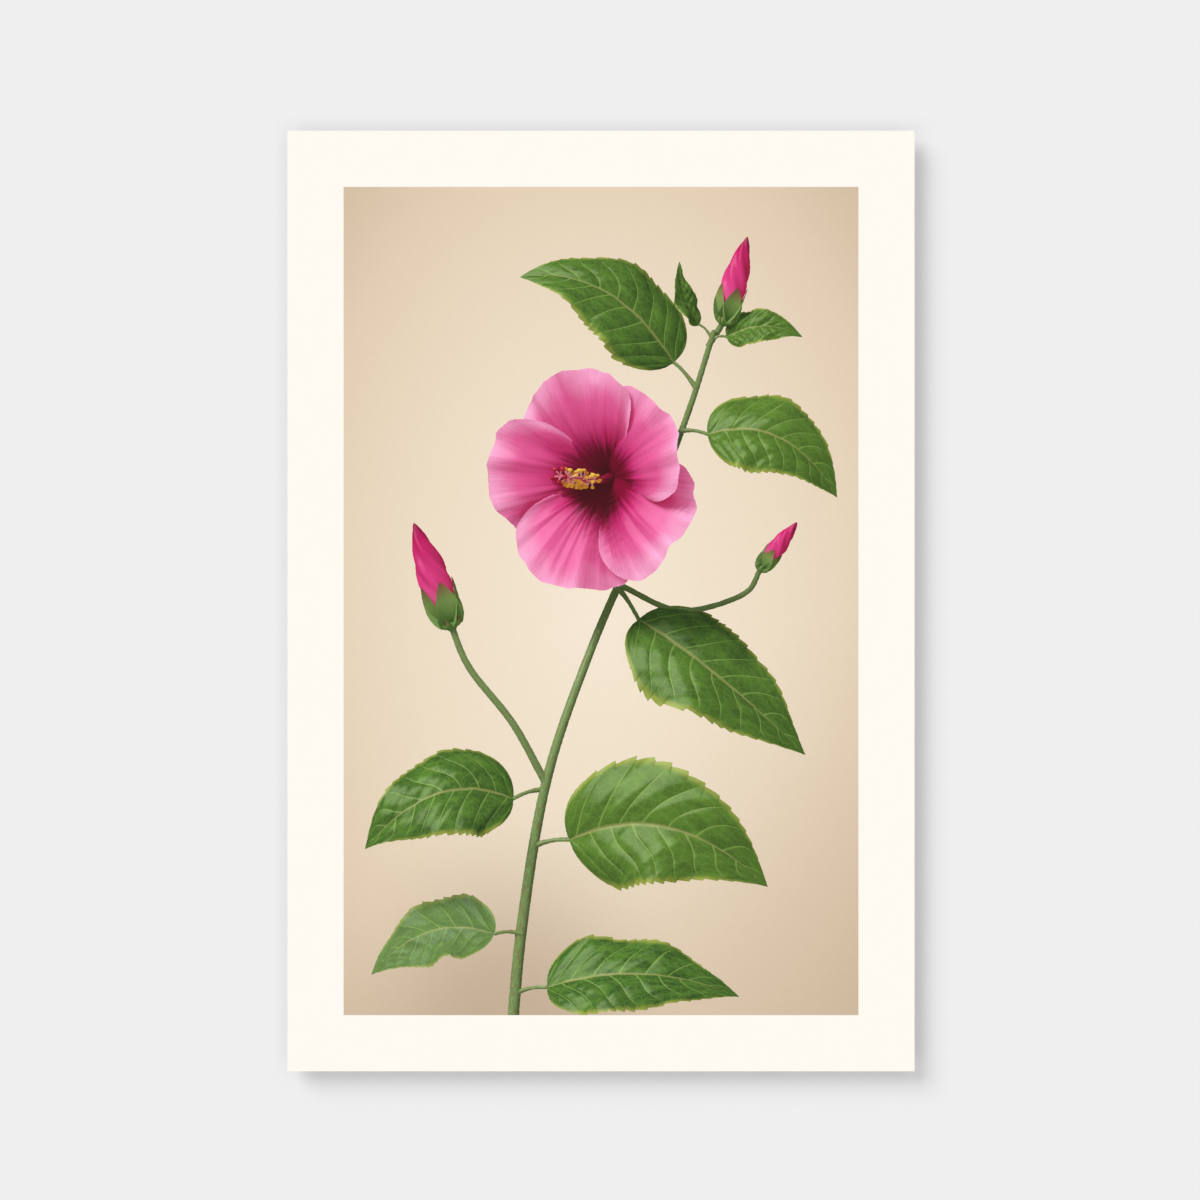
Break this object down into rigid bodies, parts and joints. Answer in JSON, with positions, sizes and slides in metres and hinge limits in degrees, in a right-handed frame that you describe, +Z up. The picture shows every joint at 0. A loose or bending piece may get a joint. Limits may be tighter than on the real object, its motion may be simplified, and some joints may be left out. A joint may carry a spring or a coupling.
{
  "type": "mounted art print",
  "caption": "Frameless upright art print: cotton paper with a plain margin round a flower picture, on a rigid board with a channel-rail frame behind to hang it clear of the wall.",
  "frame": {"origin": "in the wall plane, midway between the two wall screws, at the height of the top rail's upper lip edge, which rests on the screws", "axes": "+X to the viewer's right, +Z up, +Y from the picture into the wall"},
  "size_m": [0.4, 0.0155, 0.6],
  "materials": {
    "paper": "matte natural-white cotton paper, printed",
    "board_skin": "mill finish, faint rolling grain",
    "board_core": "sawn dark polyethylene",
    "rail": "extruded, satin anodised",
    "key": "bright zinc plated",
    "screw": "blackened, dry",
    "pad": "matte off-white elastomer"
  },
  "bodies": {
    "root": {"art_print": "paper", "board_front_skin": "board_skin", "board_core": "board_core", "board_back_skin": "board_skin", "rail_left": "rail", "rail_top": "rail", "rail_right": "rail", "rail_bottom": "rail", "corner_key_top_left": "key", "corner_key_top_right": "key", "corner_key_bottom_right": "key", "corner_key_bottom_left": "key", "grub_screw_top_left_1": "screw", "grub_screw_top_left_2": "screw", "grub_screw_top_right_1": "screw", "grub_screw_top_right_2": "screw", "grub_screw_bottom_right_1": "screw", "grub_screw_bottom_right_2": "screw", "grub_screw_bottom_left_1": "screw", "grub_screw_bottom_left_2": "screw", "wall_pad_top_left": "pad", "wall_pad_top_right": "pad", "wall_pad_bottom_right": "pad", "wall_pad_bottom_left": "pad"}
  },
  "joints": []
}
